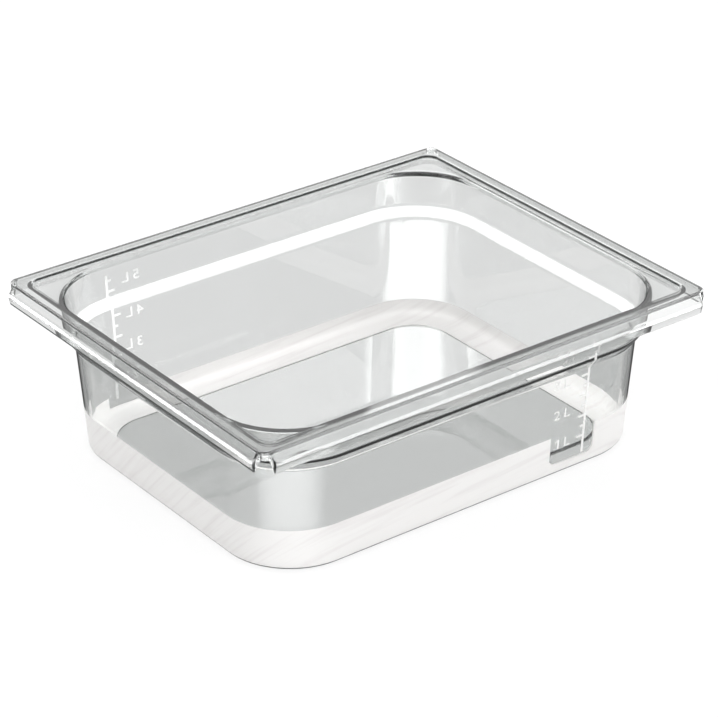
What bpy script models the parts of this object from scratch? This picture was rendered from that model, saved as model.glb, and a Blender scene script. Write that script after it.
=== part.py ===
"""Clear half-size food pan: one moulded tub with a skirted rim, a stacking shoulder and a printed litre
scale on each long wall.

The pan stands on z = 0 with its long sides along X. Every outline is a rounded rectangle, given by its
inset from the overall rectangle, its height and the radius of its corners.
"""

from math import atan2, cos, pi, sin, tan

import bmesh
import bpy
from mathutils import Matrix, Vector

for leftover in list(bpy.data.objects):
    bpy.data.objects.remove(leftover, do_unlink=True)

MM = 0.001

# Overall size, over the bulge of the skirts
LENGTH = 325 * MM
WIDTH = 265 * MM
HEIGHT = 100 * MM

# Thickness of the moulding
WALL = 2.6 * MM
SKIRT_WALL = 2.2 * MM

# Raised border round the top
RIM_INSET = 3.5 * MM         # upright rim edge, in from the bulge
RIM_RADIUS = 5 * MM          # corners of the rim edge
RIM_ROUND = 0.8 * MM         # rounding of the border's top edges
RIM_BAND = 1.6 * MM          # plain band under the top, before the skirt curves out
BORDER_WIDTH = 8.2 * MM      # rim edge to the step
STEP_DROP = 3 * MM           # border down to the lid ledge
STEP_LEAN = 0.4 * MM         # draft of the step
STEP_RADIUS = 8 * MM         # corners of the step
FLARE_DROP = 3.6 * MM        # ledge down to where the wall starts to flare out

# Skirt that hangs from the border along each side
BULGE_DROP = 9 * MM          # top down to the widest line
SKIRT_DROP = 12.7 * MM       # top down to the lower edge
SKIRT_TUCK = 1.1 * MM        # lower edge, back in from the widest line
SKIRT_LEAN = 1 * MM          # slope of the skirt's ends, beside the corner notch
CORNER_EDGE = 5.2 * MM       # plain upright edge left at each corner

# Opening and upper wall
LEDGE_WIDTH = 2.2 * MM       # step to opening, along the sides
OPENING_RADIUS = 46 * MM     # corners of the opening
LIP_ROUND = 0.8 * MM         # rounding of the opening's lip
UPPER_RADIUS = 52 * MM       # outer corners at the top of the shoulder
UPPER_DRAFT = 0.037          # slope of the wall above the shoulder

# Stacking shoulder and lower wall
SHOULDER_DROP = 25.5 * MM    # top down to the shoulder's upper bend
SHOULDER_HEIGHT = 7 * MM     # between the two bends
SHOULDER_WIDTH = 5.1 * MM    # how far the wall steps in
LOWER_RADIUS = 43 * MM       # outer corners below the shoulder
LOWER_DRAFT = 0.073          # slope of the wall below the shoulder

# Foot and floor
FOOT_ROUND = 3 * MM          # outside rounding at the foot
INNER_ROUND = 5 * MM         # inside rounding at the floor
RING_WIDTH = 18.6 * MM       # foot to the edge of the raised panel
PANEL_RISE = 0.8 * MM        # the panel stands this much above the ring
PANEL_RADIUS = 25 * MM       # corners of the panel

# Printed litre scale
INK_GAP = 0.3 * MM           # ink film clear of the wall
INK_FILM = 0.25 * MM         # thickness of the film
LINE_WIDTH = 1.6 * MM
LINE_FOOT = 9.4 * MM         # lower end of the upright line
LINE_HEAD_GAP = 5.4 * MM     # upper end of the line, below the flare
TICK_WIDTH = 1.4 * MM
LONG_TICK = 4.6 * MM         # from the edge of the line
SHORT_TICK = 2.3 * MM        # halfway between long ticks
FIRST_MARK = 21.3 * MM       # height of the lowest tick and label
MARK_STEP = 14 * MM          # between long ticks
LABEL_STEP = 20.6 * MM       # between labels, which have a spacing of their own
LABEL_DRIFT = 1.8 * MM       # each label stands this much further from the line than the one below
CHARACTER_HEIGHT = 6.2 * MM
CHARACTER_STRETCH = 1.2      # broad letters
FIGURE_ONE = ((0.3, 0), (0.47, 0), (0.47, 1), (0.33, 1), (0.06, 0.8), (0.06, 0.62), (0.3, 0.79))  # flagged 1
UNIT_OFFSET = 12.2 * MM      # letter L of the lowest label, from the line
DIGIT_OFFSET = 20.1 * MM     # its figure, from the line
REAR_SHIFT = 4.3 * MM        # the rear wall's labels, nearer to the line
FRONT_FIRST = 1              # litres of the lowest label, front wall
REAR_FIRST = 2               # the same, rear wall
FRONT_SETBACK = 15.6 * MM    # line from the start of the rounded corner, front wall
REAR_SETBACK = 0.4 * MM      # the same, rear wall

# Smoothness of the outlines
CORNER_SEGMENTS = 8
ROUND_SEGMENTS = 4
SKIRT_SEGMENTS = 5
TUCK_SEGMENTS = 2
CHARACTER_RESOLUTION = 3

# Heights and insets that follow from the sizes above
LEDGE_Z = HEIGHT - STEP_DROP
UNDER_Z = HEIGHT - WALL
FLARE_Z = LEDGE_Z - FLARE_DROP
SHOULDER_Z = HEIGHT - SHOULDER_DROP
SHOULDER_FOOT_Z = SHOULDER_Z - SHOULDER_HEIGHT
INNER_LIFT = WALL * tan(atan2(SHOULDER_WIDTH, SHOULDER_HEIGHT) / 2)
STEP_INSET = RIM_INSET + BORDER_WIDTH
OPENING_INSET = STEP_INSET + LEDGE_WIDTH
LIP_INSET = OPENING_INSET + LIP_ROUND
LIP_Z = LEDGE_Z - LIP_ROUND
LIP_RADIUS = OPENING_RADIUS - LIP_ROUND


def mix(start, end, share):
    return start + (end - start) * share


def upper_inset(z):
    """Outer inset of the wall above the shoulder."""
    return LIP_INSET - WALL + UPPER_DRAFT * (LIP_Z - z)


def lower_inset(z):
    """Outer inset of the wall below the shoulder."""
    return upper_inset(SHOULDER_Z) + SHOULDER_WIDTH + LOWER_DRAFT * (SHOULDER_FOOT_Z - z)


def wall_inset(z):
    """Outer inset of the wall at any height between the foot and the flare."""
    if z <= SHOULDER_FOOT_Z:
        return lower_inset(z)
    if z >= SHOULDER_Z:
        return upper_inset(z)
    share = (z - SHOULDER_FOOT_Z) / SHOULDER_HEIGHT
    return mix(lower_inset(SHOULDER_FOOT_Z), upper_inset(SHOULDER_Z), share)


def make_material(name, colour, roughness, transmission=0.0, ior=1.5):
    material = bpy.data.materials.new(name)
    material.use_nodes = True
    shader = material.node_tree.nodes["Principled BSDF"]
    shader.inputs["Base Color"].default_value = (*colour, 1.0)
    shader.inputs["Roughness"].default_value = roughness
    shader.inputs["Metallic"].default_value = 0.0
    shader.inputs["Transmission Weight"].default_value = transmission
    shader.inputs["IOR"].default_value = ior
    return material


def add_object(name, bm, material):
    bmesh.ops.recalc_face_normals(bm, faces=bm.faces[:])
    if bm.calc_volume(signed=True) < 0:
        bmesh.ops.reverse_faces(bm, faces=bm.faces[:])
    mesh = bpy.data.meshes.new(name)
    bm.to_mesh(mesh)
    bm.free()
    mesh.materials.append(material)
    mesh.shade_smooth()
    mesh.set_sharp_from_angle(angle=pi / 6)
    piece = bpy.data.objects.new(name, mesh)
    bpy.context.collection.objects.link(piece)
    return piece


def rounded_outline(inset, z, radius, corner_inset=None, corner_z=None):
    """One closed outline, anticlockwise. The corners may have an inset and height of their own."""
    corner_inset = inset if corner_inset is None else corner_inset
    corner_z = z if corner_z is None else corner_z
    corner_radius = radius + inset - corner_inset
    reach_x = LENGTH / 2 - inset - radius
    reach_y = WIDTH / 2 - inset - radius
    points = []
    for quarter, (side_x, side_y) in enumerate([(1, 1), (-1, 1), (-1, -1), (1, -1)]):
        centre = Vector((side_x * reach_x, side_y * reach_y, 0))
        start = quarter * pi / 2
        end = start + pi / 2
        lead_in = centre + radius * direction(start) - SKIRT_LEAN * direction(start + pi / 2)
        lead_out = centre + radius * direction(end) + SKIRT_LEAN * direction(end + pi / 2)
        points.append((lead_in.x, lead_in.y, z))
        for step in range(CORNER_SEGMENTS + 1):
            arc = centre + corner_radius * direction(mix(start, end, step / CORNER_SEGMENTS))
            points.append((arc.x, arc.y, corner_z))
        points.append((lead_out.x, lead_out.y, z))
    return points


def direction(angle):
    return Vector((cos(angle), sin(angle), 0))


def base_outlines():
    """Raised panel, flat ring and rounded foot, seen from below."""
    panel_inset = lower_inset(0) + RING_WIDTH
    yield panel_inset, PANEL_RISE, PANEL_RADIUS
    yield panel_inset - PANEL_RISE, 0, PANEL_RADIUS + PANEL_RISE
    foot_inset = lower_inset(FOOT_ROUND)
    for step in range(ROUND_SEGMENTS + 1):
        angle = pi / 2 * step / ROUND_SEGMENTS
        tuck = FOOT_ROUND * (1 - sin(angle))
        yield foot_inset + tuck, FOOT_ROUND * (1 - cos(angle)), LOWER_RADIUS - tuck


def outer_wall_outlines():
    """Shoulder, upper wall and the flare under the border."""
    yield lower_inset(SHOULDER_FOOT_Z), SHOULDER_FOOT_Z, LOWER_RADIUS
    yield upper_inset(SHOULDER_Z), SHOULDER_Z, UPPER_RADIUS
    yield upper_inset(FLARE_Z), FLARE_Z, LIP_RADIUS + WALL
    yield STEP_INSET, LEDGE_Z - WALL, STEP_RADIUS
    yield STEP_INSET - WALL, UNDER_Z, STEP_RADIUS + WALL


def skirt_curve(top_z, thickness, tuck):
    """One face of the skirt from its top down: an S out to the bulge, then down to the lower edge."""
    bulge_z = HEIGHT - BULGE_DROP
    lower_z = HEIGHT - SKIRT_DROP
    curve = []
    for step in range(SKIRT_SEGMENTS + 1):
        share = step / SKIRT_SEGMENTS
        swing = (1 + cos(pi * share)) / 2
        curve.append((thickness + RIM_INSET * swing, mix(top_z, bulge_z, share)))
    for step in range(1, TUCK_SEGMENTS + 1):
        angle = pi / 2 * step / TUCK_SEGMENTS
        curve.append((thickness + tuck * (1 - cos(angle)), mix(bulge_z, lower_z, sin(angle))))
    return curve


def skirt_outlines(top_z, thickness, tuck):
    """The skirt's face along the sides, and the plain upright edge that takes its place at corners."""
    curve = skirt_curve(top_z, thickness, tuck)
    for number, (inset, z) in enumerate(curve):
        share = number / (len(curve) - 1)
        radius = RIM_RADIUS + RIM_INSET - inset
        yield inset, z, radius, RIM_INSET + thickness, mix(top_z, HEIGHT - CORNER_EDGE, share)


def rim_outlines():
    """Border, step, lid ledge and the lip of the opening."""
    yield RIM_INSET, HEIGHT - RIM_ROUND, RIM_RADIUS
    yield RIM_INSET + RIM_ROUND, HEIGHT, RIM_RADIUS - RIM_ROUND
    yield STEP_INSET - RIM_ROUND, HEIGHT, STEP_RADIUS + RIM_ROUND
    yield STEP_INSET, HEIGHT - RIM_ROUND, STEP_RADIUS
    yield STEP_INSET + STEP_LEAN, LEDGE_Z, STEP_RADIUS - STEP_LEAN
    yield OPENING_INSET, LEDGE_Z, OPENING_RADIUS
    yield LIP_INSET, LIP_Z, LIP_RADIUS


def inner_outlines():
    """Inside of the walls, the inner rounding, the ring and the raised panel."""
    yield upper_inset(SHOULDER_Z + INNER_LIFT) + WALL, SHOULDER_Z + INNER_LIFT, UPPER_RADIUS - WALL
    foot_z = SHOULDER_FOOT_Z + INNER_LIFT
    yield lower_inset(foot_z) + WALL, foot_z, LOWER_RADIUS - WALL
    floor_inset = lower_inset(WALL + INNER_ROUND) + WALL
    for step in range(ROUND_SEGMENTS + 1):
        angle = pi / 2 * step / ROUND_SEGMENTS
        tuck = INNER_ROUND * (1 - cos(angle))
        yield floor_inset + tuck, WALL + INNER_ROUND * (1 - sin(angle)), LOWER_RADIUS - WALL - tuck
    panel_inset = lower_inset(0) + RING_WIDTH
    yield panel_inset - PANEL_RISE, WALL, PANEL_RADIUS + PANEL_RISE
    yield panel_inset, WALL + PANEL_RISE, PANEL_RADIUS


def make_pan(material):
    outlines = [*base_outlines(), *outer_wall_outlines()]
    outlines += skirt_outlines(UNDER_Z, SKIRT_WALL, 0)
    outlines += reversed(list(skirt_outlines(HEIGHT - RIM_BAND, 0, SKIRT_TUCK)))
    outlines += [*rim_outlines(), *inner_outlines()]
    bm = bmesh.new()
    loops = [[bm.verts.new(point) for point in rounded_outline(*outline)] for outline in outlines]
    for lower, upper in zip(loops, loops[1:]):
        for number in range(len(lower)):
            bm.faces.new((lower[number - 1], lower[number], upper[number], upper[number - 1]))
    bm.faces.new(loops[0])
    bm.faces.new(loops[-1])
    return add_object("pan_body", bm, material)


def thicken(bm):
    """Turn a flat figure in the XZ plane into a film that reaches INK_FILM along +Y."""
    film = bmesh.ops.extrude_face_region(bm, geom=bm.faces[:])
    moved = [part for part in film["geom"] if isinstance(part, bmesh.types.BMVert)]
    bmesh.ops.translate(bm, verts=moved, vec=(0, INK_FILM, 0))


def wrap_on_wall(bm, turn):
    """Bend a flat film over the wall's profile, then turn it to the front or the rear wall."""
    for bend_z in (SHOULDER_FOOT_Z, SHOULDER_Z):
        geometry = bm.verts[:] + bm.edges[:] + bm.faces[:]
        bmesh.ops.bisect_plane(bm, geom=geometry, plane_co=(0, 0, bend_z), plane_no=(0, 0, 1))
    for vert in bm.verts:
        height = vert.co.z
        vert.co.y = wall_inset(height) - WIDTH / 2 - INK_GAP - vert.co.y
    bm.transform(Matrix.Rotation(turn, 4, "Z"))


def heights_below(line_head, step):
    """Evenly spaced heights from the lowest mark up to the end of the line."""
    count = int((line_head - FIRST_MARK) / step) + 1
    return [FIRST_MARK + number * step for number in range(count)]


def make_scale_line(name, line_x, line_head, turn, material):
    """Upright line with long and short ticks in turn, as one comb-shaped film."""
    left = line_x - LINE_WIDTH / 2
    right = line_x + LINE_WIDTH / 2
    outline = [(right, LINE_FOOT), (right, line_head), (left, line_head)]
    for number, height in reversed(list(enumerate(heights_below(line_head, MARK_STEP / 2)))):
        tip = left - (SHORT_TICK if number % 2 else LONG_TICK)
        top = height + TICK_WIDTH / 2
        bottom = height - TICK_WIDTH / 2
        outline += [(left, top), (tip, top), (tip, bottom), (left, bottom)]
    outline.append((left, LINE_FOOT))
    bm = bmesh.new()
    bm.faces.new([bm.verts.new((x, 0, z)) for x, z in outline])
    thicken(bm)
    wrap_on_wall(bm, turn)
    return add_object(name, bm, material)


def flat_character(letter):
    """Flat figure or letter in the XY plane."""
    bm = bmesh.new()
    if letter == "1":
        bm.faces.new([bm.verts.new((x, y, 0)) for x, y in FIGURE_ONE])
        return bm
    curve = bpy.data.curves.new(letter, "FONT")
    curve.body = letter
    curve.resolution_u = CHARACTER_RESOLUTION
    pattern = bpy.data.objects.new(letter, curve)
    bpy.context.collection.objects.link(pattern)
    bpy.context.view_layer.update()
    flat = bpy.data.meshes.new_from_object(pattern.evaluated_get(bpy.context.evaluated_depsgraph_get()))
    bpy.data.objects.remove(pattern, do_unlink=True)
    bm.from_mesh(flat)
    bpy.data.meshes.remove(flat)
    bmesh.ops.remove_doubles(bm, verts=bm.verts[:], dist=curve.size / 1000)
    return bm


def make_character(name, letter, centre_x, centre_z, turn, material):
    """One printed figure or letter, scaled to the height of the print."""
    bm = flat_character(letter)
    low = Vector((min(v.co.x for v in bm.verts), min(v.co.y for v in bm.verts), 0))
    high = Vector((max(v.co.x for v in bm.verts), max(v.co.y for v in bm.verts), 0))
    middle = (low + high) / 2
    grow = CHARACTER_HEIGHT / (high.y - low.y)
    for vert in bm.verts:
        across = (vert.co.x - middle.x) * grow * CHARACTER_STRETCH
        upward = (vert.co.y - middle.y) * grow
        vert.co = (centre_x + across, 0, centre_z + upward)
    thicken(bm)
    wrap_on_wall(bm, turn)
    return add_object(name, bm, material)


def make_scale(side, setback, label_shift, first_litre, turn, material):
    """Line, ticks and labels on one long wall. The labels lean away from the line."""
    line_x = LENGTH / 2 - upper_inset(SHOULDER_Z) - UPPER_RADIUS - setback
    line_head = FLARE_Z - LINE_HEAD_GAP
    make_scale_line(f"{side}_scale_line", line_x, line_head, turn, material)
    for number, height in enumerate(heights_below(line_head, LABEL_STEP)):
        start_x = line_x + label_shift - number * LABEL_DRIFT
        litres = first_litre + number
        label = f"{side}_mark_{litres}"
        make_character(f"{label}_digit", str(litres), start_x - DIGIT_OFFSET, height, turn, material)
        make_character(f"{label}_unit", "L", start_x - UNIT_OFFSET, height, turn, material)


make_pan(make_material("clear_plastic", (0.93, 0.95, 0.93), 0.05, transmission=1.0, ior=1.585))
white_ink = make_material("white_ink", (0.9, 0.91, 0.9), 0.55)
make_scale("front", FRONT_SETBACK, 0, FRONT_FIRST, 0, white_ink)
make_scale("rear", REAR_SETBACK, REAR_SHIFT, REAR_FIRST, pi, white_ink)
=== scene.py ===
from math import atan2, cos, pi, radians, sin, tan

import bmesh
import bpy
from mathutils import Matrix, Vector


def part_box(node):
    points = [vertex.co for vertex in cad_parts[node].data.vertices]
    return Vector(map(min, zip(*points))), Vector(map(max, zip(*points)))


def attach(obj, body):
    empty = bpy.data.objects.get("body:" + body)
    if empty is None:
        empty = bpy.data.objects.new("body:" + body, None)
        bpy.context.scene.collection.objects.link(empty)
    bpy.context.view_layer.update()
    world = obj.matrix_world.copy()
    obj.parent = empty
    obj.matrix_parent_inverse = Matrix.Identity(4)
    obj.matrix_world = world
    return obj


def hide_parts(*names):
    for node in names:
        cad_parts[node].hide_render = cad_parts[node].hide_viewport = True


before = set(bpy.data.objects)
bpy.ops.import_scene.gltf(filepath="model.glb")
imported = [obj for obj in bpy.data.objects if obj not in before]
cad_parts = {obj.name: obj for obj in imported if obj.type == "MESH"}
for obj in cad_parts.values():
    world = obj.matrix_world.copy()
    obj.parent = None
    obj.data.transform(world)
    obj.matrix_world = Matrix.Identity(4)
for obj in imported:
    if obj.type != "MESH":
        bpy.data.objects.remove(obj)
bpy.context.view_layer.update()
mm = 0.001
print("frame loaded:", len(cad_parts), "nodes")


def addNode(tree, kind, settings=None, values=None):
    node = tree.nodes.new(kind)
    for name, value in (settings or {}).items():
        setattr(node, name, value)
    for socket, value in (values or {}).items():
        if isinstance(value, bpy.types.NodeSocket):
            tree.links.new(value, node.inputs[socket])
        else:
            node.inputs[socket].default_value = value
    return node


def doMath(tree, operation, *terms):
    node = addNode(tree, "ShaderNodeMath", {"operation": operation}, dict(enumerate(terms)))
    return node.outputs[0]


def newMaterial(name):
    material = bpy.data.materials.new(name)
    material.use_nodes = True
    return material, material.node_tree, material.node_tree.nodes["Principled BSDF"]


def stretchedNoise(tree, scale, stretch, detail=3.0, roughness=0.5, turn=(0.0, 0.0, 0.0)):
    place = addNode(tree, "ShaderNodeTexCoord")
    mapping = addNode(tree, "ShaderNodeMapping", {"vector_type": "TEXTURE"}, {
        "Vector": place.outputs["Object"], "Rotation": turn, "Scale": stretch})
    return addNode(tree, "ShaderNodeTexNoise", values={
        "Vector": mapping.outputs["Vector"], "Scale": scale, "Detail": detail, "Roughness": roughness})


def twoTone(tree, shader, share, places, tones):
    ramp = addNode(tree, "ShaderNodeValToRGB", values={"Fac": share})
    for element, place, tone in zip(ramp.color_ramp.elements, places, tones):
        element.position, element.color = place, tone
    tree.links.new(ramp.outputs["Color"], shader.inputs["Base Color"])
    return ramp.outputs["Color"]


def addBump(tree, shader, height, strength, distance):
    bump = addNode(tree, "ShaderNodeBump", values={
        "Height": height, "Strength": strength, "Distance": distance})
    tree.links.new(bump.outputs["Normal"], shader.inputs["Normal"])


# polished clear plastic, with painted shade: its colour darkens towards near black where a face turns edge-on to the
# view
clearLook = {"tint": (1.0, 1.0, 1.0, 1.0), "edge": (0.03, 0.045, 0.042, 1.0), "grazingShadeFrom": (0.8, 0.9),
             "ior": 1.585, "roughness": 0.0,
             "absorb": (0.195, 0.225, 0.212, 1.0), "density": 134.0,
             "rippleSize": 22.0, "ripple": 0.003, "rippleDepth": 1.0 * mm}


def clearPlastic():
    material, tree, shader = newMaterial("clearPlastic")
    # painted shade: the base colour runs from the tint to the dark edge colour as a face turns edge-on
    facing = addNode(tree, "ShaderNodeLayerWeight", values={"Blend": 0.5}).outputs["Facing"]
    twoTone(tree, shader, facing, clearLook["grazingShadeFrom"], (clearLook["tint"], clearLook["edge"]))
    shader.inputs["Roughness"].default_value = clearLook["roughness"]
    shader.inputs["IOR"].default_value = clearLook["ior"]
    shader.inputs["Transmission Weight"].default_value = 1.0
    ripple = stretchedNoise(tree, clearLook["rippleSize"], (1.0, 1.0, 1.0), detail=1.0)
    addBump(tree, shader, ripple.outputs["Fac"], clearLook["ripple"], clearLook["rippleDepth"])
    inside = addNode(tree, "ShaderNodeVolumeAbsorption", values={
        "Color": clearLook["absorb"], "Density": clearLook["density"]})
    tree.links.new(inside.outputs["Volume"], tree.nodes["Material Output"].inputs["Volume"])
    return material


# satin white zone round the foot, brushed along the pan, with a painted glow where it is seen through one wall
satinLook = {"pale": (0.92, 0.91, 0.9, 1.0), "streak": (0.85, 0.83, 0.825, 1.0), "roughness": 0.42,
             "streakScale": 400.0, "stretch": (24.0, 1.0, 24.0), "turn": (radians(45), 0.0, radians(4)),
             "spread": (0.3, 0.52), "bump": 0.15, "bumpDepth": 0.2 * mm, "paintedGlowThroughWall": 0.5, "paintedGlowWallDepth": (2.0, 1.2)}


def satinPlastic():
    material, tree, shader = newMaterial("satinPlastic")
    streaks = stretchedNoise(tree, satinLook["streakScale"], satinLook["stretch"], detail=4.0,
                             turn=satinLook["turn"])
    tone = twoTone(tree, shader, streaks.outputs["Fac"], satinLook["spread"],
                   (satinLook["streak"], satinLook["pale"]))
    shader.inputs["Roughness"].default_value = satinLook["roughness"]
    addBump(tree, shader, streaks.outputs["Fac"], satinLook["bump"], satinLook["bumpDepth"])
    # painted light: glows where it is seen through one wall, which a ray enters and leaves, so that it stays pale
    # there
    behind = doMath(tree, "COMPARE", rayMask(tree, "Transmission Depth"), *satinLook["paintedGlowWallDepth"])
    tree.links.new(tone, shader.inputs["Emission Color"])
    tree.links.new(doMath(tree, "MULTIPLY", behind, satinLook["paintedGlowThroughWall"]), shader.inputs["Emission Strength"])
    return material


# painted shade: the lower edge of the end skirts and of the foot are coloured near black, for the dark edges they
# show from above
paintedEdgeShadeLook = {"dark": (0.04, 0.052, 0.048, 1.0), "pale": (0.09, 0.105, 0.1, 1.0), "spread": (0.4, 0.8),
            "roughness": 0.3, "grain": 300.0, "stretch": (6.0, 6.0, 1.0)}


def paintedEdgeShade():
    material, tree, shader = newMaterial("paintedEdgeShade")
    grain = stretchedNoise(tree, paintedEdgeShadeLook["grain"], paintedEdgeShadeLook["stretch"])
    twoTone(tree, shader, grain.outputs["Fac"], paintedEdgeShadeLook["spread"], (paintedEdgeShadeLook["dark"], paintedEdgeShadeLook["pale"]))
    shader.inputs["Roughness"].default_value = paintedEdgeShadeLook["roughness"]
    return material


# white print; light comes through the thin rear print, and the rear print glows with painted light, so that it reads
# pale from inside the pan
inkLook = {"white": (0.93, 0.93, 0.92, 1.0), "worn": (0.84, 0.85, 0.84, 1.0), "spread": (0.25, 0.45),
           "roughness": 0.5, "grain": 900.0, "bump": 0.2, "bumpDepth": 0.05 * mm,
           "through": {"front": 0.0, "rear": 1.0}, "depth": 10 * mm, "glow": 0.75}


def whiteInk(side):
    material, tree, shader = newMaterial(side + "Print")
    grain = stretchedNoise(tree, inkLook["grain"], (1.0, 1.0, 1.0))
    twoTone(tree, shader, grain.outputs["Fac"], inkLook["spread"], (inkLook["worn"], inkLook["white"]))
    through = inkLook["through"][side]
    shader.inputs["Roughness"].default_value = inkLook["roughness"]
    shader.inputs["Subsurface Weight"].default_value = through
    shader.inputs["Subsurface Radius"].default_value = (1.0, 1.0, 1.0)
    shader.inputs["Subsurface Scale"].default_value = inkLook["depth"]
    # painted light: the rear print glows as if lit, though it is no lamp
    shader.inputs["Emission Color"].default_value = inkLook["white"]
    shader.inputs["Emission Strength"].default_value = inkLook["glow"] * through
    addBump(tree, shader, grain.outputs["Fac"], inkLook["bump"], inkLook["bumpDepth"])
    return material


# section of the pan, as insets from the overall rectangle and heights
panLow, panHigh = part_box("pan_body")
panSizes = {
    "length": panHigh[0] - panLow[0], "width": panHigh[1] - panLow[1], "height": panHigh[2],
    "wall": 2.6 * mm, "skirtWall": 2.2 * mm,
    "rimInset": 3.5 * mm, "rimRadius": 5 * mm, "stepRound": 0.5 * mm, "rimBevel": 0.7 * mm,
    "borderWidth": 8.2 * mm, "stepDrop": 3 * mm, "stepLean": 0.4 * mm, "stepRadius": 8 * mm,
    "flareDrop": 3.6 * mm,
    "beadDrop": 5.7 * mm, "beadLean": 0.55 * mm, "bulgeDrop": 7.9 * mm, "skirtDrop": 12.7 * mm,
    # the strip inside the end skirts that is coloured near black as painted shade
    "skirtTuck": 1.1 * mm, "skirtLean": 1 * mm, "cornerEdge": 5.2 * mm, "skirtRound": 0.6 * mm, "paintedShadeStrip": 1 * mm,
    "ledgeWidth": 2.2 * mm, "openingRadius": 46 * mm, "lipRound": 0.8 * mm,
    "upperRadius": 52 * mm, "upperDraft": 0.037,
    "shoulderDrop": 25.5 * mm, "shoulderHeight": 7 * mm, "shoulderWidth": 5.1 * mm, "bendRound": 4 * mm,
    "lowerRadius": 43 * mm, "lowerDraft": 0.073,
    "footRound": 3 * mm, "innerRound": 6 * mm, "ringWidth": 18.6 * mm, "panelRise": 0.8 * mm,
    "panelRadius": 25 * mm, "panelRound": 0.3 * mm,
    "flareRound": 1 * mm, "borderRound": 0.3 * mm, "ledgeRound": 0.5 * mm, "underRound": 0.8 * mm,
    "roundSteps": 6, "roundShare": 0.45, "cornerSteps": 28, "weld": 0.002 * mm, "sharpAngle": radians(32),
    "endReach": 3 * mm, "skirtReach": 1 * mm, "flatEdge": 0.1 * mm,
}


def upperInset(height):
    lip = panSizes["rimInset"] + panSizes["borderWidth"] + panSizes["ledgeWidth"] + panSizes["lipRound"]
    lipHeight = panSizes["height"] - panSizes["stepDrop"] - panSizes["lipRound"]
    return lip - panSizes["wall"] + panSizes["upperDraft"] * (lipHeight - height)


def lowerInset(height):
    bend = panSizes["height"] - panSizes["shoulderDrop"]
    foot = bend - panSizes["shoulderHeight"]
    return upperInset(bend) + panSizes["shoulderWidth"] + panSizes["lowerDraft"] * (foot - height)


def skirtFace(topHeight, thickness, tuck):
    # slants out to a flat bead, then tucks in to the lower edge; the plain corner edge runs beside it
    size = panSizes
    lower = size["height"] - size["skirtDrop"]
    cornerLow = size["height"] - size["cornerEdge"]
    slope = (size["rimInset"] - size["beadLean"]) / (size["beadDrop"] - size["rimBevel"])
    topInset = size["beadLean"] + slope * (topHeight - size["height"] + size["beadDrop"])
    rows = []
    for inset, height, rounding in ((thickness + topInset, topHeight, size["skirtRound"]),
                                    (thickness + size["beadLean"], size["height"] - size["beadDrop"],
                                     size["skirtRound"]),
                                    (thickness, size["height"] - size["bulgeDrop"], size["skirtRound"]),
                                    (thickness + tuck, lower, 0.0)):
        share = (topHeight - height) / (topHeight - lower)
        radius = size["rimRadius"] + size["rimInset"] - inset
        rows.append(((inset, height, radius), rounding,
                     (size["rimInset"] + thickness, topHeight + (cornerLow - topHeight) * share, 0.0)))
    return rows


def sectionRows():
    # each row is (inset, height, corner radius), its rounding and, where it differs, its form at the corners
    size = panSizes
    wall = size["wall"]
    top = size["height"]
    ledge = top - size["stepDrop"]
    under = top - wall
    bend = top - size["shoulderDrop"]
    bendFoot = bend - size["shoulderHeight"]
    bendRadius = size["upperRadius"] - size["shoulderWidth"]
    lift = wall * tan(atan2(size["shoulderWidth"], size["shoulderHeight"]) / 2)
    step = size["rimInset"] + size["borderWidth"]
    opening = step + size["ledgeWidth"]
    flare = ledge - size["flareDrop"]
    lipRadius = size["openingRadius"] - size["lipRound"]
    panel = lowerInset(0) + size["ringWidth"]
    rise = size["panelRise"]
    middle = size["width"] / 2
    outer = [
        ((middle, rise, 0.0), 0.0, None),
        ((panel, rise, size["panelRadius"]), size["panelRound"], None),
        ((panel - rise, 0.0, size["panelRadius"] + rise), size["panelRound"], None),
        ((lowerInset(0), 0.0, size["lowerRadius"]), size["footRound"], None),
        ((lowerInset(bendFoot), bendFoot, bendRadius), size["bendRound"], None),
        ((upperInset(bend), bend, size["upperRadius"]), size["bendRound"], None),
        ((upperInset(flare), flare, lipRadius + wall), size["flareRound"], None),
        ((step, ledge - wall, size["stepRadius"]), size["ledgeRound"], None),
        ((step - wall, under, size["stepRadius"] + wall), size["underRound"], None),
    ]
    skirtInside = skirtFace(under, size["skirtWall"], 0.0)
    skirtOutside = skirtFace(top - size["rimBevel"], 0.0, size["skirtTuck"])
    inner = [
        ((size["rimInset"] + size["rimBevel"], top, size["rimRadius"] - size["rimBevel"]),
         size["borderRound"], None),
        ((step, top, size["stepRadius"]), size["stepRound"], None),
        ((step + size["stepLean"], ledge, size["stepRadius"] - size["stepLean"]), size["ledgeRound"], None),
        ((opening, ledge, size["openingRadius"]), size["lipRound"], None),
        ((opening + size["lipRound"], ledge - size["lipRound"], lipRadius), size["lipRound"], None),
        ((upperInset(bend + lift) + wall, bend + lift, size["upperRadius"] - wall), size["bendRound"], None),
        ((lowerInset(bendFoot + lift) + wall, bendFoot + lift, bendRadius - wall), size["bendRound"], None),
        ((lowerInset(wall) + wall, wall, size["lowerRadius"] - wall), size["innerRound"], None),
        ((panel - rise, wall, size["panelRadius"] + rise), size["panelRound"], None),
        ((panel, wall + rise, size["panelRadius"]), size["panelRound"], None),
        ((middle, wall + rise, 0.0), 0.0, None),
    ]
    return outer + skirtInside + skirtOutside[::-1] + inner


def roundedPath(points, roundings, steps):
    # softens each bend with a short curve, the same number of points each time
    path = []
    for number, point in enumerate(points):
        rounding = roundings[number]
        if rounding == 0.0:
            path.append(point)
            continue
        before = points[number - 1] - point
        after = points[number + 1] - point
        flatBefore, flatAfter = before.xy, after.xy
        turn = pi - flatBefore.angle(flatAfter)
        longest = panSizes["roundShare"] * min(flatBefore.length, flatAfter.length)
        cut = min(rounding * tan(turn / 2), longest)
        start = point + before * (cut / flatBefore.length)
        end = point + after * (cut / flatAfter.length)
        for step in range(steps + 1):
            share = step / steps
            path.append(start * (1 - share) ** 2 + point * 2 * share * (1 - share) + end * share ** 2)
    return path


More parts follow.
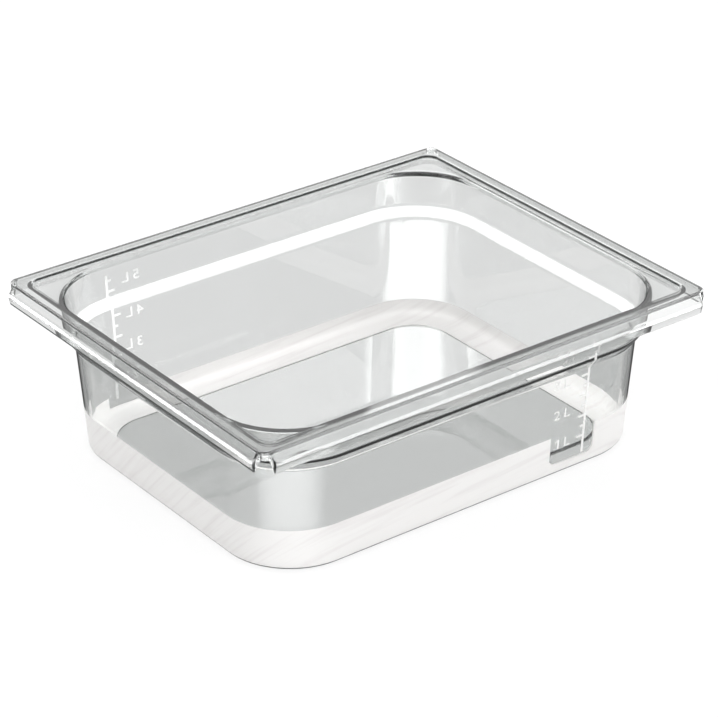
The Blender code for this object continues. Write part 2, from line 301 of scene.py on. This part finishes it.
def pointCloud(name, columns):
    # bare points that carry the vectors the node tree samples
    count = len(next(iter(columns.values())))
    mesh = bpy.data.meshes.new(name)
    mesh.from_pydata([(0.0, 0.0, 0.0)] * count, [], [])
    for column, vectors in columns.items():
        attribute = mesh.attributes.new(column, "FLOAT_VECTOR", "POINT")
        attribute.data.foreach_set("vector", [number for vector in vectors for number in vector])
    points = bpy.data.objects.new(name, mesh)
    bpy.context.collection.objects.link(points)
    return points


def planStations():
    # round the pan, anticlockwise: the end of a straight, the corner's arc and the start of the next straight
    turns, sides = [], []
    lean = panSizes["skirtLean"]
    steps = panSizes["cornerSteps"]
    for quarter, side in enumerate([(1, 1, 0), (-1, 1, 0), (-1, -1, 0), (1, -1, 0)]):
        start = quarter * pi / 2
        stations = [(start, -3 * lean, 0.0), (start, -lean, 0.0)]  # the outer one keeps the long faces flat
        stations += [(start + pi / 2 * step / steps, 0.0, 1.0) for step in range(steps + 1)]
        stations += [(start + pi / 2, lean, 0.0), (start + pi / 2, 3 * lean, 0.0)]
        turns += stations
        sides += [side] * len(stations)
    return turns, sides


def sampleVector(tree, geometry, name, index):
    named = addNode(tree, "GeometryNodeInputNamedAttribute", {"data_type": "FLOAT_VECTOR"}, {"Name": name})
    sample = addNode(tree, "GeometryNodeSampleIndex", {"data_type": "FLOAT_VECTOR", "domain": "POINT"},
                     {"Geometry": geometry, "Value": named.outputs["Attribute"], "Index": index})
    return addNode(tree, "ShaderNodeSeparateXYZ", values={0: sample.outputs[0]}).outputs


def sweepTree():
    # carries the section round a rounded rectangle and closes the ends on the middle line
    tree = bpy.data.node_groups.new("sweepSection", "GeometryNodeTree")
    face = tree.interface
    face.new_socket("Section", in_out="INPUT", socket_type="NodeSocketGeometry")
    face.new_socket("Plan", in_out="INPUT", socket_type="NodeSocketObject")
    face.new_socket("Length", in_out="INPUT", socket_type="NodeSocketFloat")
    face.new_socket("Width", in_out="INPUT", socket_type="NodeSocketFloat")
    face.new_socket("Finish", in_out="INPUT", socket_type="NodeSocketMaterial")
    face.new_socket("Pan", in_out="OUTPUT", socket_type="NodeSocketGeometry")
    given = addNode(tree, "NodeGroupInput").outputs
    plan = addNode(tree, "GeometryNodeObjectInfo", values={"Object": given["Plan"]}).outputs["Geometry"]
    rows = addNode(tree, "GeometryNodeAttributeDomainSize", values={
        "Geometry": given["Section"]}).outputs["Point Count"]
    columns = addNode(tree, "GeometryNodeAttributeDomainSize", values={"Geometry": plan}).outputs["Point Count"]
    grid = addNode(tree, "GeometryNodeMeshGrid", values={
        "Vertices X": doMath(tree, "ADD", columns, 1.0), "Vertices Y": rows})
    index = addNode(tree, "GeometryNodeInputIndex").outputs[0]
    column = doMath(tree, "FLOOR", doMath(tree, "DIVIDE", doMath(tree, "ADD", index, 0.5), rows))
    row = doMath(tree, "SUBTRACT", index, doMath(tree, "MULTIPLY", column, rows))
    column = doMath(tree, "FLOORED_MODULO", column, columns)
    side = sampleVector(tree, given["Section"], "along", row)
    corner = sampleVector(tree, given["Section"], "atCorner", row)
    turn, lead, isCorner = sampleVector(tree, plan, "turn", column)
    signX, signY = sampleVector(tree, plan, "side", column)[:2]

    def blendCorner(straight, bent):
        return doMath(tree, "ADD", straight,
                      doMath(tree, "MULTIPLY", isCorner, doMath(tree, "SUBTRACT", bent, straight)))

    inset = blendCorner(side[0], corner[0])
    height = blendCorner(side[1], corner[1])
    radius = doMath(tree, "SUBTRACT", doMath(tree, "ADD", side[2], side[0]), inset)
    centre = doMath(tree, "ADD", side[0], side[2])
    hasCorner = doMath(tree, "GREATER_THAN", side[2], 0.0)
    lead = doMath(tree, "MULTIPLY", lead, hasCorner)
    along, across = doMath(tree, "COSINE", turn), doMath(tree, "SINE", turn)

    def planPlace(sign, overall, outward, tangent):
        reach = doMath(tree, "SUBTRACT", doMath(tree, "MULTIPLY", overall, 0.5), centre)
        start = doMath(tree, "MULTIPLY", sign, reach)
        arc = doMath(tree, "MULTIPLY", radius, outward)
        return doMath(tree, "ADD", doMath(tree, "ADD", start, arc), doMath(tree, "MULTIPLY", lead, tangent))

    placeX = planPlace(signX, given["Length"], along, doMath(tree, "MULTIPLY", across, -1.0))
    placeY = planPlace(signY, given["Width"], across, along)
    place = addNode(tree, "ShaderNodeCombineXYZ", values={0: placeX, 1: placeY, 2: height})
    moved = addNode(tree, "GeometryNodeSetPosition", values={
        "Geometry": grid.outputs["Mesh"], "Position": place.outputs[0]})
    merged = addNode(tree, "GeometryNodeMergeByDistance", values={
        "Geometry": moved.outputs[0], "Distance": panSizes["weld"]})
    smooth = addNode(tree, "GeometryNodeSetShadeSmooth", values={"Geometry": merged.outputs[0]})
    real = addNode(tree, "GeometryNodeRealizeInstances", values={"Geometry": smooth.outputs[0]})
    finish = addNode(tree, "GeometryNodeSetMaterial", values={
        "Geometry": real.outputs[0], "Material": given["Finish"]})
    addNode(tree, "NodeGroupOutput", values={0: finish.outputs[0]})
    return tree


def setInput(tree, modifier, name, value):
    for item in tree.interface.items_tree:
        if item.name == name and item.in_out == "INPUT":
            modifier[item.identifier] = value


# satin zone of the foot: low all round, higher along the front and left, clear behind the lower end of each scale;
# below the foot line the foot carries painted shade
footZone = {"low": 13 * mm, "high": 27 * mm, "highLeft": 94 * mm, "highFront": 133 * mm, "paintedFootShadeLine": 1.6 * mm,
            "frontWindow": (57.5 * mm, 91 * mm), "windowFoot": 7.5 * mm, "windowRound": 3 * mm,
            "behind": 1.1 * mm, "rearWindow": (-105 * mm, -83 * mm), "rearFoot": 6 * mm,
            "clearRing": (57.5 * mm, 121 * mm), "ringFoot": -103.5 * mm,
            "reach": 45 * mm, "longSide": 60 * mm, "raisedSide": 70 * mm, "endSide": 100 * mm, "cutGap": 0.001 * mm}


def cutFaces(bm, chosen, point, normal):
    faces = [face for face in bm.faces if chosen(face)]
    edges = {edge for face in faces for edge in face.edges}
    verts = {vert for face in faces for vert in face.verts}
    bmesh.ops.bisect_plane(bm, geom=[*verts, *edges, *faces], dist=footZone["cutGap"],
                           plane_co=point, plane_no=normal)


def isFoot(face):
    panelEdge = lowerInset(0) + panSizes["ringWidth"] - panSizes["panelRise"] * 0.5
    radius = panSizes["panelRadius"]
    middle = face.calc_center_median()
    offX = max(abs(middle.x) - panSizes["length"] / 2 + panelEdge + radius, 0)
    offY = max(abs(middle.y) - panSizes["width"] / 2 + panelEdge + radius, 0)
    return offX ** 2 + offY ** 2 > radius ** 2 and middle.z < footZone["reach"]


def facesOut(face):
    middle = face.calc_center_median()
    return face.normal.x * middle.x + face.normal.y * middle.y > 0


def onFront(face):
    return isFoot(face) and face.calc_center_median().y < -footZone["longSide"]


def onRear(face):
    return isFoot(face) and face.calc_center_median().y > footZone["longSide"]


def onLeft(face):
    return isFoot(face) and face.calc_center_median().x < -footZone["endSide"]


def cutFoot(bm):
    zone = footZone
    left, right = zone["frontWindow"]
    foot, rounding = zone["windowFoot"], zone["windowRound"]
    for height in (zone["low"], zone["low"] - zone["behind"], zone["paintedFootShadeLine"]):
        cutFaces(bm, isFoot, (0, 0, height), (0, 0, 1))
    for side in (onFront, onLeft):
        for height in (zone["high"], zone["high"] - zone["behind"]):
            cutFaces(bm, side, (0, 0, height), (0, 0, 1))
    cutFaces(bm, onLeft, (0, zone["highLeft"], 0), (0, 1, 0))
    cutFaces(bm, onFront, (0, 0, foot), (0, 0, 1))
    cutFaces(bm, onFront, (0, zone["ringFoot"], 0), (0, 1, 0))
    cutFaces(bm, onFront, (left + rounding, 0, foot), (1, 0, 1))
    cutFaces(bm, onFront, (right - rounding, 0, foot), (-1, 0, 1))
    for place in zone["frontWindow"] + zone["clearRing"] + (zone["highFront"],):
        cutFaces(bm, onFront, (place, 0, 0), (1, 0, 0))
    for place in zone["rearWindow"]:
        cutFaces(bm, onRear, (place, 0, 0), (1, 0, 0))
    for height in (zone["rearFoot"], zone["rearFoot"] - zone["behind"]):
        cutFaces(bm, onRear, (0, 0, height), (0, 0, 1))


def isSatin(face):
    # the face turned away from the camera stops a little lower, so that no dark edge shows past the near one
    zone = footZone
    middle = face.calc_center_median()
    if not isFoot(face):
        return False
    raised = (middle.x < -zone["endSide"] and middle.y < zone["highLeft"]) or (
        middle.y < -zone["raisedSide"] and middle.x < zone["highFront"])
    top = zone["high"] if raised else zone["low"]
    if facesOut(face) != raised:
        top -= zone["behind"]
    left, right = zone["frontWindow"]
    above = middle.z - zone["windowFoot"]
    inFrontWindow = (middle.y < 0 and left < middle.x < right and above > 0
                     and min(middle.x - left, right - middle.x) + above > zone["windowRound"])
    rearFoot = zone["rearFoot"] - (zone["behind"] if facesOut(face) else 0)
    inRearWindow = (middle.y > 0 and zone["rearWindow"][0] < middle.x < zone["rearWindow"][1]
                    and middle.z > rearFoot)
    inner = middle.y > zone["ringFoot"] or face.normal.z < 0
    onClearRing = (inner and middle.y < 0 and zone["clearRing"][0] < middle.x < zone["clearRing"][1]
                   and abs(face.normal.z) > 0.5)
    return middle.z < top and not (inFrontWindow or inRearWindow or onClearRing)


def onEnd(place):
    return abs(place.x) > panSizes["length"] / 2 - panSizes["endReach"]


def isInsideSkirt(face):
    middle = face.calc_center_median()
    return (panSizes["height"] - middle.z < panSizes["skirtDrop"] + panSizes["skirtReach"]
            and onEnd(middle) and face.normal.x * middle.x < 0)


def isPaintedEdgeShade(face):
    # painted shade: the foot's lowest line, the underside of the two end skirts and a strip inside them are coloured
    # near black
    middle = face.calc_center_median()
    height = middle.z - panSizes["height"] + panSizes["skirtDrop"]
    under = face.normal.z < -0.9 and abs(height) < panSizes["flatEdge"] and onEnd(middle)
    foot = middle.z < footZone["paintedFootShadeLine"] and -0.95 < face.normal.z < 0
    return foot or under or (isInsideSkirt(face) and height < panSizes["paintedShadeStrip"])


def makePan(clear, satin, edge):
    rows = sectionRows()
    roundings = [row[1] for row in rows]
    along = roundedPath([Vector(row[0]) for row in rows], roundings, panSizes["roundSteps"])
    bent = roundedPath([Vector(row[2] or row[0]) for row in rows], roundings, panSizes["roundSteps"])
    turns, sides = planStations()
    pan = pointCloud("clear_tub", {"along": along, "atCorner": bent})
    plan = pointCloud("planStations", {"turn": turns, "side": sides})
    tree = sweepTree()
    modifier = pan.modifiers.new("sweep", "NODES")
    modifier.node_group = tree
    for name, value in (("Plan", plan), ("Length", panSizes["length"]), ("Width", panSizes["width"]),
                        ("Finish", clear)):
        setInput(tree, modifier, name, value)
    bpy.context.view_layer.update()
    mesh = bpy.data.meshes.new_from_object(pan.evaluated_get(bpy.context.evaluated_depsgraph_get()))
    pan.modifiers.clear()
    pan.data = mesh
    bpy.data.objects.remove(plan, do_unlink=True)
    bm = bmesh.new()
    bm.from_mesh(mesh)
    bmesh.ops.recalc_face_normals(bm, faces=bm.faces[:])
    if bm.calc_volume(signed=True) < 0:
        bmesh.ops.reverse_faces(bm, faces=bm.faces[:])
    cutFoot(bm)
    stripTop = panSizes["height"] - panSizes["skirtDrop"] + panSizes["paintedShadeStrip"]
    cutFaces(bm, isInsideSkirt, (0, 0, stripTop), (0, 0, 1))
    for face in bm.faces:
        # index 2 is the near-black painted edge shade
        face.material_index = 2 if isPaintedEdgeShade(face) else 1 if isSatin(face) else 0
    openEdges = sum(not edge.is_manifold for edge in bm.edges)
    mesh.materials.clear()
    for material in (clear, satin, edge):
        mesh.materials.append(material)
    bm.to_mesh(mesh)
    bm.free()
    mesh.shade_smooth()
    mesh.set_sharp_from_angle(angle=panSizes["sharpAngle"])
    weighted = pan.modifiers.new("flatFaces", "WEIGHTED_NORMAL")  # keeps the large faces flat beside their bends
    weighted.keep_sharp = True
    bpy.context.view_layer.update()
    pan.data = bpy.data.meshes.new_from_object(pan.evaluated_get(bpy.context.evaluated_depsgraph_get()))
    pan.modifiers.clear()
    print("pan swept:", len(mesh.polygons), "faces,", openEdges, "open edges")
    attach(pan, "root")
    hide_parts("pan_body")
    return pan


def dressScales():
    inks = {side: whiteInk(side) for side in inkLook["through"]}
    marks = {name: node for name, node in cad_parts.items() if name != "pan_body"}
    for name, node in marks.items():
        node.data.materials.clear()
        node.data.materials.append(inks[name.split("_")[0]])
    print("scales inked:", len(marks), "marks")


# studio
studio = {"floorSize": 4.0, "floorGap": 0.6 * mm, "floorShadow": 0.2, "floorTone": 0.95, "floorBounce": 0.5,
          "floorRoughness": 0.9,
          "skyOnMatt": 0.25, "cameraSide": (-0.603, -0.797, 0.0), "besideCamera": (0.797, -0.603, 0.0),
          "edgeTone": 0.7, "groundTone": 0.5, "groundEdges": (-0.42, -0.32),
          "ringAxis": (0.2115, 0.2777, 0.937), "ringEdges": (0.28, 0.32, 0.62, 0.66), "ringOnMatt": 2.3,
          "ringInGloss": 4.5, "capEdges": (0.82, 0.88), "capLevel": 1.35,
          "fillAxis": (-0.2, -0.98, 0.0), "fillSpread": (0.5, 0.9), "fillLevel": 0.9,
          "lowSpread": (0.4, 0.8), "lowEdges": (-0.75, -0.6, -0.3, -0.15), "lowShift": (-0.55, -0.42),
          "lowLevels": (3.6, 10.0),
          "sideSpread": (0.65, 0.8), "sideEdges": (-0.27, -0.22, -0.05, -0.01), "sideLevel": 8.0,
          "rightSpread": (0.7, 0.85), "rightEdges": (0.28, 0.33, 0.46, 0.52), "rightLevel": 3.0,
          "beyondSpread": (-0.7, -0.8), "cardEdges": (0.36, 0.24), "cardTone": 0.12,
          "backEdges": (0.3, 0.38, 0.56, 0.64), "backLevel": 0.45,
          "stripEdges": (0.0005, 0.005, 0.0335, 0.0435), "stripHeights": (0.45, 0.458, 0.488, 0.495),
          "stripLevel": 2.6,
          "bounces": {"max_bounces": 24, "transmission_bounces": 24, "glossy_bounces": 12}}


def rayMask(tree, *names):
    path = addNode(tree, "ShaderNodeLightPath").outputs
    mask = path[names[0]]
    for name in names[1:]:
        mask = doMath(tree, "MAXIMUM", mask, path[name])
    return mask


def blend(tree, share, first, second):
    return addNode(tree, "ShaderNodeMix", values={0: share, 2: first, 3: second}).outputs[0]


def riseBetween(tree, value, start, end):
    return addNode(tree, "ShaderNodeMapRange", {"interpolation_type": "SMOOTHSTEP"}, {
        "Value": value, "From Min": start, "From Max": end}).outputs["Result"]


def bandBetween(tree, value, edges):
    rise = riseBetween(tree, value, edges[0], edges[1])
    fall = riseBetween(tree, value, edges[2], edges[3])
    return doMath(tree, "SUBTRACT", rise, fall)


def makeFloor():
    size = studio["floorSize"] / 2
    mesh = bpy.data.meshes.new("studio_floor")
    height = -studio["floorGap"]
    mesh.from_pydata([(-size, -size, height), (size, -size, height), (size, size, height), (-size, size, height)],
                     [], [(0, 1, 2, 3)])
    floor = bpy.data.objects.new("studio_floor", mesh)
    bpy.context.collection.objects.link(floor)
    material, tree, shader = newMaterial("paleFloor")
    toCamera = rayMask(tree, "Is Camera Ray")
    tone = blend(tree, toCamera, studio["floorBounce"], studio["floorTone"])
    tree.links.new(tone, shader.inputs["Base Color"])
    shader.inputs["Roughness"].default_value = studio["floorRoughness"]
    white = doMath(tree, "MULTIPLY", toCamera, 1.0 - studio["floorShadow"])
    glow = addNode(tree, "ShaderNodeEmission", values={"Color": (1.0, 1.0, 1.0, 1.0), "Strength": 1.0})
    solid = addNode(tree, "ShaderNodeMixShader", values={0: white, 1: shader.outputs[0], 2: glow.outputs[0]})
    clearWay = addNode(tree, "ShaderNodeBsdfTransparent")
    mixed = addNode(tree, "ShaderNodeMixShader", values={
        0: rayMask(tree, "Is Glossy Ray", "Is Transmission Ray"), 1: solid.outputs[0], 2: clearWay.outputs[0]})
    tree.links.new(mixed.outputs[0], tree.nodes["Material Output"].inputs["Surface"])
    material.cycles.emission_sampling = "NONE"
    mesh.materials.append(material)


def makeSky():
    # white surroundings, a soft ring of light overhead, low lights, and a dark card with a strip of light beyond
    world = bpy.data.worlds.new("studioSky")
    bpy.context.scene.world = world
    world.use_nodes = True
    tree = world.node_tree
    toward = addNode(tree, "ShaderNodeTexCoord").outputs["Generated"]

    def alongAxis(axis):
        return addNode(tree, "ShaderNodeVectorMath", {"operation": "DOT_PRODUCT"},
                       {0: toward, 1: axis}).outputs["Value"]

    height = alongAxis((0.0, 0.0, 1.0))
    upright = alongAxis(studio["ringAxis"])
    # lamps show in reflections only, so that the walls show plain white through them from every side
    through = rayMask(tree, "Is Transmission Ray")
    mirrored = rayMask(tree, "Is Glossy Ray", "Is Transmission Ray")
    bounced = doMath(tree, "SUBTRACT", mirrored, through)
    reflected = doMath(tree, "MINIMUM", rayMask(tree, "Glossy Depth"), 1.0)
    trapped = doMath(tree, "MULTIPLY", through, reflected)
    ground = doMath(tree, "MULTIPLY", bounced, riseBetween(tree, height, *studio["groundEdges"][::-1]))
    base = blend(tree, mirrored, studio["skyOnMatt"], blend(
        tree, trapped, blend(tree, ground, 1.0, studio["groundTone"]), studio["edgeTone"]))
    beyond = doMath(tree, "MULTIPLY", reflected,
                    riseBetween(tree, alongAxis(studio["cameraSide"]), *studio["beyondSpread"]))
    card = doMath(tree, "MULTIPLY", beyond, riseBetween(tree, height, *studio["cardEdges"]))
    base = blend(tree, card, base, studio["cardTone"])
    ring = doMath(tree, "MULTIPLY", bandBetween(tree, upright, studio["ringEdges"]),
                  blend(tree, mirrored, studio["ringOnMatt"],
                        doMath(tree, "MULTIPLY", doMath(tree, "SUBTRACT", reflected, beyond), studio["ringInGloss"])))
    cap = doMath(tree, "MULTIPLY", riseBetween(tree, upright, *studio["capEdges"]), studio["capLevel"])
    fill = doMath(tree, "MULTIPLY", riseBetween(tree, alongAxis(studio["fillAxis"]), *studio["fillSpread"]),
                  blend(tree, mirrored, studio["fillLevel"], 0.0))
    low = doMath(tree, "MULTIPLY", bandBetween(tree, height, studio["lowEdges"]),
                 riseBetween(tree, alongAxis(studio["cameraSide"]), *studio["lowSpread"]))
    low = doMath(tree, "MULTIPLY", low, doMath(tree, "MULTIPLY", reflected, blend(
        tree, riseBetween(tree, height, *studio["lowShift"]), *studio["lowLevels"])))
    beside = alongAxis(studio["besideCamera"])
    right = doMath(tree, "MULTIPLY", bandBetween(tree, height, studio["rightEdges"]),
                   riseBetween(tree, beside, *studio["rightSpread"]))
    right = doMath(tree, "MULTIPLY", right, doMath(tree, "MULTIPLY", bounced, studio["rightLevel"]))
    back = doMath(tree, "MULTIPLY", bandBetween(tree, height, studio["backEdges"]), beyond)
    strip = doMath(tree, "MULTIPLY", bandBetween(tree, beside, studio["stripEdges"]),
                   bandBetween(tree, height, studio["stripHeights"]))
    strip = doMath(tree, "MULTIPLY", strip, studio["stripLevel"])
    back = doMath(tree, "MULTIPLY", back, doMath(tree, "ADD", strip, studio["backLevel"]))
    aside = doMath(tree, "MULTIPLY", bandBetween(tree, height, studio["sideEdges"]),
                   riseBetween(tree, doMath(tree, "ABSOLUTE", beside), *studio["sideSpread"]))
    aside = doMath(tree, "MULTIPLY", aside, doMath(tree, "MULTIPLY", bounced, studio["sideLevel"]))
    lit = base
    for part in (ring, cap, fill, low, right, back, aside):
        lit = doMath(tree, "ADD", lit, part)
    background = tree.nodes["Background"]
    background.inputs["Color"].default_value = (1.0, 1.0, 1.0, 1.0)
    tree.links.new(blend(tree, rayMask(tree, "Is Camera Ray"), lit, 1.0), background.inputs["Strength"])


# camera at the photograph's angle
cameraView = {"azimuth": -0.6477304, "elevation": 0.4906298, "distance": 1.784755,
              "target": (2.1738 * mm, 0.1699 * mm, 50 * mm), "focal": 3007.481, "frame": 718, "roll": -0.002589,
              "sensor": 36.0}


def makeCamera():
    view = cameraView
    away = Vector((sin(view["azimuth"]) * cos(view["elevation"]),
                   -cos(view["azimuth"]) * cos(view["elevation"]), sin(view["elevation"])))
    right = (-away).cross(Vector((0, 0, 1))).normalized()
    up = right.cross(-away)
    turnedRight = right * cos(view["roll"]) + up * sin(view["roll"])
    turnedUp = up * cos(view["roll"]) - right * sin(view["roll"])
    data = bpy.data.cameras.new("photoCamera")
    data.sensor_width = view["sensor"]
    data.lens = data.sensor_width * view["focal"] / view["frame"]
    camera = bpy.data.objects.new("photoCamera", data)
    bpy.context.collection.objects.link(camera)
    axes = Matrix((turnedRight, turnedUp, away)).transposed().to_4x4()
    camera.matrix_world = Matrix.Translation(Vector(view["target"]) + away * view["distance"]) @ axes
    bpy.context.scene.camera = camera


makePan(clearPlastic(), satinPlastic(), paintedEdgeShade())
dressScales()
makeFloor()
makeSky()
makeCamera()
bpy.context.scene.view_settings.view_transform = "Standard"
for limit, bounces in studio["bounces"].items():
    setattr(bpy.context.scene.cycles, limit, bounces)
print("studio set")
